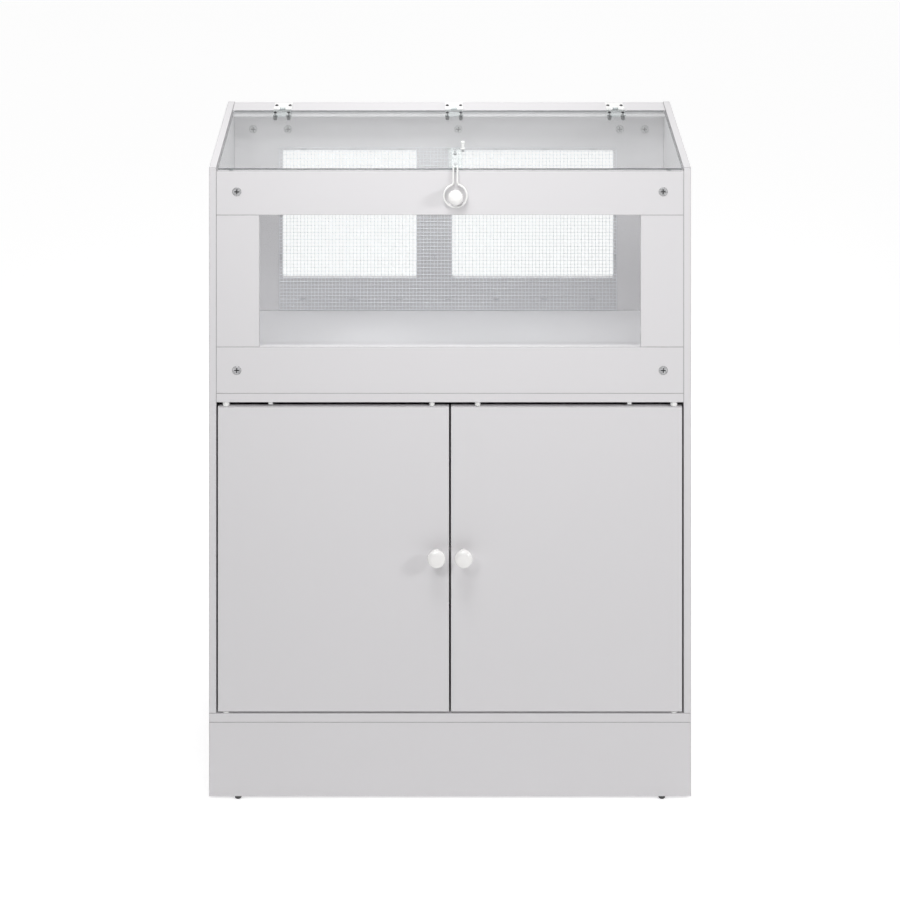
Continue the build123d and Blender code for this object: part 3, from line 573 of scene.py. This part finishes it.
def wire_mesh():
    """Welded wire mesh over the rear windows: upright wires, cross wires and a nugget at each weld."""
    low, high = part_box("rear_mesh")
    columns = round((high.x - low.x) / WIRE_PITCH)
    rows = round((high.z - low.z) / WIRE_PITCH)
    sizes = {
        "Pitch across": (high.x - low.x) / columns, "Pitch up": (high.z - low.z) / rows,
        "Columns": columns, "Rows": rows, "Wire": WIRE_RADIUS, "Bow": 0.35 * MM,
    }
    growth = Growth("welded_mesh", sizes, WIRE)
    across, up, wire = growth.size("Pitch across"), growth.size("Pitch up"), growth.size("Wire")
    width, height = growth.size("Columns") * across, growth.size("Rows") * up

    def wires(count, step, first, end):
        line = growth.add("GeometryNodeMeshLine", {"mode": "OFFSET"}, {
            "Count": count, "Start Location": first, "Offset": step,
        }).outputs[0]
        single = growth.add("GeometryNodeCurvePrimitiveLine", None, {
            "Start": (0, 0, 0), "End": end,
        }).outputs[0]
        pieces = growth.add("GeometryNodeResampleCurve", None, {
            "Curve": single, "Count": POINTS_ALONG_WIRE,
        }).outputs[0]
        many = growth.add("GeometryNodeInstanceOnPoints", None, {
            "Points": line, "Instance": pieces,
        }).outputs[0]
        real = growth.add("GeometryNodeRealizeInstances", None, {0: many}).outputs[0]
        bow = growth.add("ShaderNodeTexNoise", None, {"Scale": 60.0, "Detail": 1.0})
        centred = growth.add("ShaderNodeVectorMath", {"operation": "SUBTRACT"}, {
            0: bow.outputs["Color"], 1: (0.5, 0.5, 0.5),
        }).outputs[0]
        offset = growth.add("ShaderNodeVectorMath", {"operation": "SCALE"}, {
            0: centred, "Scale": growth.size("Bow"),
        }).outputs[0]
        bent = growth.add("GeometryNodeSetPosition", None, {"Geometry": real, "Offset": offset}).outputs[0]
        ring = growth.add("GeometryNodeCurvePrimitiveCircle", None, {
            "Resolution": WIRE_SIDES, "Radius": wire,
        }).outputs[0]
        return growth.add("GeometryNodeCurveToMesh", None, {
            "Curve": bent, "Profile Curve": ring, "Fill Caps": True,
        }).outputs[0]

    columns_shape = wires(
        growth.size("Columns") + 1, growth.vector(x=across), (0, 0, 0), growth.vector(z=height),
    )
    front = wire * -CROSS_WIRES_FORWARD
    rows_shape = wires(
        growth.size("Rows") + 1, growth.vector(z=up), growth.vector(y=front), growth.vector(x=width),
    )
    grid = growth.add("GeometryNodeMeshGrid", None, {
        "Size X": width, "Size Y": height,
        "Vertices X": growth.size("Columns") + 1, "Vertices Y": growth.size("Rows") + 1,
    }).outputs[0]
    upright = growth.add("GeometryNodeTransform", None, {
        "Geometry": grid, "Rotation": (math.pi / 2, 0, 0),
        "Translation": growth.vector(width * 0.5, front * 0.5, height * 0.5),
    }).outputs[0]
    nugget = growth.add("GeometryNodeMeshIcoSphere", None, {
        "Radius": wire * NUGGET_SIZE, "Subdivisions": 1,
    }).outputs[0]
    welds = growth.add("GeometryNodeInstanceOnPoints", None, {
        "Points": upright, "Instance": nugget,
    }).outputs[0]
    mesh = growth.grow(growth.join(columns_shape, rows_shape, welds))
    mesh.transform(Matrix.Translation((low.x, high.y - WIRE_RADIUS, low.z)))
    for face in mesh.polygons:
        face.use_smooth = True
    return place(mesh, "wire_mesh", "carcass", WIRE, "galvanised_wire", "rear_mesh")


wire_mesh()


# ---------------------------------------------------------------- knobs and hasp loop

def turned_knob(side):
    """A turned cabinet knob: foot, waist and a flattened head with a soft rim.

    The outline is in shares of the head's radius and of the knob's length.
    """
    node = side + "_door_knob"
    low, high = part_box(node)
    centre = (low + high) / 2
    radius = (high.x - low.x) / 2
    length = high.y - low.y
    profile = [(0, 0), (0.50, 0), (0.53, 0.010), (0.53, 0.045), (0.50, 0.060)]
    waist = [(0.50 - 0.13 * math.sin(t * math.pi / 2), 0.06 + 0.20 * t) for t in (0.2, 0.4, 0.6, 0.8, 1.0)]
    flare = [(0.37 + 0.12 * t**2, 0.26 + 0.16 * t) for t in (0.25, 0.5, 0.75, 1.0)]
    head = []
    for k in range(25):
        turn = math.radians(-62 + 152 * k / 24)
        bulge = 0.70 * math.cos(turn) ** 0.9 if turn < math.pi / 2 else 0.0
        head.append((0.30 + bulge, 0.70 + 0.285 * math.sin(turn)))
    crown = [(0.30 * (1 - t), 0.985 + 0.015 * (1 - (1 - t) ** 2)) for t in (0.25, 0.5, 0.75, 1.0)]
    outline = profile + waist + flare + head + crown
    scaled = [(r * radius, h * length) for r, h in outline]
    mesh = lathe(scaled, (centre.x, high.y, centre.z), (0, -1, 0), steps=72)
    return place(mesh, side + "_turned_knob", node.replace("_knob", "_leaf"), LACQUER, "white_lacquer", node)


def ball_knob():
    """The ball knob for the hasp: a stepped foot, a neck and a ball."""
    low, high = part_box("lid_knob")
    centre = (low + high) / 2
    ball = (high.x - low.x) / 2
    middle_height = (high.y - low.y) - ball
    neck = 4.5 * MM
    start = math.degrees(math.asin(neck / ball))
    profile = [(0, 0), (6.7 * MM, 0), (7 * MM, 0.3 * MM), (7 * MM, 1.1 * MM), (6.6 * MM, 1.5 * MM)]
    profile += [(5.2 * MM, 1.9 * MM), (neck, 2.8 * MM)]
    for k in range(33):
        turn = math.radians(start + (180 - start) * k / 32)
        profile.append((max(0.0, ball * math.sin(turn)), middle_height - ball * math.cos(turn)))
    profile[-1] = (0, profile[-1][1])
    mesh = lathe(profile, (centre.x, high.y, centre.z), (0, -1, 0), steps=72)
    return place(mesh, "ball_knob", "carcass", LACQUER, "white_lacquer", "lid_knob")


def keyhole_loop():
    """The hasp loop: a ring, flowing into two legs, closed by the bar that the plate's barrel holds."""
    low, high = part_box("hasp_loop")
    wire = (high.y - low.y) / 2
    centre_x, plane_y = (low.x + high.x) / 2, (low.y + high.y) / 2
    ring_radius = (high.x - low.x) / 2 - wire
    ring_z = low.z + wire + ring_radius
    bar_z = high.z - wire
    leg, fillet, bend = 3.4 * MM, 5 * MM, 1.2 * MM
    reach = ring_radius + fillet
    fillet_z = math.sqrt(reach**2 - (leg + fillet) ** 2)
    touch = math.degrees(math.atan2(fillet_z, leg + fillet))
    right = [(x, z) for x, z in arc((0, 0), ring_radius, -90, touch, 40)]
    right += arc((leg + fillet, fillet_z), fillet, touch + 180, 180, 8)[1:]
    top = bar_z - ring_z
    right += arc((leg - bend, top - bend), bend, 0, 90, 5)
    left = [(-x, z) for x, z in reversed(right)]
    outline = right + left[:-1]
    curve = bpy.data.curves.new("loop", "CURVE")
    curve.dimensions = "3D"
    curve.bevel_depth = wire
    curve.bevel_resolution = 5
    spline = curve.splines.new("POLY")
    spline.points.add(len(outline) - 1)
    for point, (x, z) in zip(spline.points, outline):
        point.co = (centre_x + x, plane_y, ring_z + z, 1)
    spline.use_cyclic_u = True
    holder = bpy.data.objects.new("loop", curve)
    bpy.context.scene.collection.objects.link(holder)
    graph = bpy.context.evaluated_depsgraph_get()
    mesh = bpy.data.meshes.new_from_object(holder.evaluated_get(graph))
    bpy.data.objects.remove(holder)
    for face in mesh.polygons:
        face.use_smooth = True
    return place(mesh, "keyhole_loop", "hasp", WHITE_PLASTIC, "white_plastic", "hasp_loop")


for door_side in ("left", "right"):
    turned_knob(door_side)
ball_knob()
keyhole_loop()


# ---------------------------------------------------------------- studio

SKY_LOW, SKY_HIGH, WHITE_SCREEN = 0.03, 0.88, 0.9
SEEN_SKY = 0.98
# name, place, aim, size in metres, watts, spread in degrees
LAMPS = [
    ("key", (-1.1, -1.90, 2.30), (-0.05, 0.0, 0.9), 0.5, 3.4, 100),
    ("fill", (1.9, -1.30, 1.50), (0.0, -0.2, 0.75), 0.32, 4.6, 100),
    ("top", (-0.15, -0.80, 2.40), (0.0, 0.16, 0.88), 0.5, 2.1, 60),
]
EYE_X, EYE_TO_FRONT, EYE_HEIGHT = -0.022, 4.35, 2.355
AIM_HEIGHT = 0.580
FRAME_WIDTH = 1.494


def studio():
    """A wide pale floor under a soft sky that is brightest overhead, and softboxes in front and above."""
    bpy.ops.mesh.primitive_plane_add(size=60)
    floor = bpy.context.object
    floor.name = "floor"
    floor.data.materials.append(lit_floor())
    soft_sky()
    for lamp in LAMPS:
        soft_lamp(*lamp)
    bpy.context.scene.view_settings.view_transform = "Standard"


def soft_sky():
    """Light from all round: dim low down, bright overhead, with a white screen behind the cage.

    Looked at directly it is plain white, like the floor.
    """
    world = bpy.data.worlds.new("studio")
    bpy.context.scene.world = world
    world.use_nodes = True
    sky = Nodes(world.node_tree)
    direction = sky.add("ShaderNodeTexCoord").outputs["Generated"]
    split = sky.add("ShaderNodeSeparateXYZ", None, {0: direction})
    back, rise = (Field(sky, split.outputs[k]) for k in (1, 2))
    screen = back.rise(0.35, 0.75) * rise.rise(0.75, 0.5) * WHITE_SCREEN
    background = world.node_tree.nodes["Background"]
    background.inputs["Color"].default_value = (1, 1, 1, 1)
    lighting = rise.rise(0.15, 0.95).span(SKY_LOW, SKY_HIGH) + screen
    seen = Field(sky, sky.add("ShaderNodeLightPath").outputs["Is Camera Ray"])
    sky.feed(background.inputs["Strength"], lighting * (1 - seen) + seen * SEEN_SKY)


def soft_lamp(name, place_at, aim, size, power, spread):
    lamp = bpy.data.lights.new(name, "AREA")
    lamp.size = size
    lamp.energy = power
    lamp.spread = math.radians(spread)
    stand = bpy.data.objects.new(name, lamp)
    bpy.context.scene.collection.objects.link(stand)
    stand.location = place_at
    stand.rotation_euler = (Vector(aim) - Vector(place_at)).to_track_quat("-Z", "Y").to_euler()


def view_camera():
    """A studio view camera: it stands high, and its film stays upright so the cage's sides stay parallel."""
    front_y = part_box("plinth_front")[0].y
    eye = Vector((EYE_X, front_y - EYE_TO_FRONT, EYE_HEIGHT))
    aim = Vector((0.0, front_y, AIM_HEIGHT))
    camera = bpy.data.cameras.new("view_camera")
    camera.sensor_width = 36
    camera.lens = camera.sensor_width * (aim - eye).length / FRAME_WIDTH
    holder = bpy.data.objects.new("view_camera", camera)
    stand = bpy.data.objects.new("camera_stand", None)
    for thing in (holder, stand):
        bpy.context.scene.collection.objects.link(thing)
    back = (eye - aim).normalized()
    film = Matrix.Identity(4)
    film.col[0] = (1, 0, 0, 0)
    film.col[1] = (0, 0, 1, 0)
    film.col[2] = (*back, 0)
    film.col[3] = (*eye, 1)
    holder.parent = stand
    holder.matrix_parent_inverse = film
    bpy.context.scene.camera = holder


studio()
view_camera()
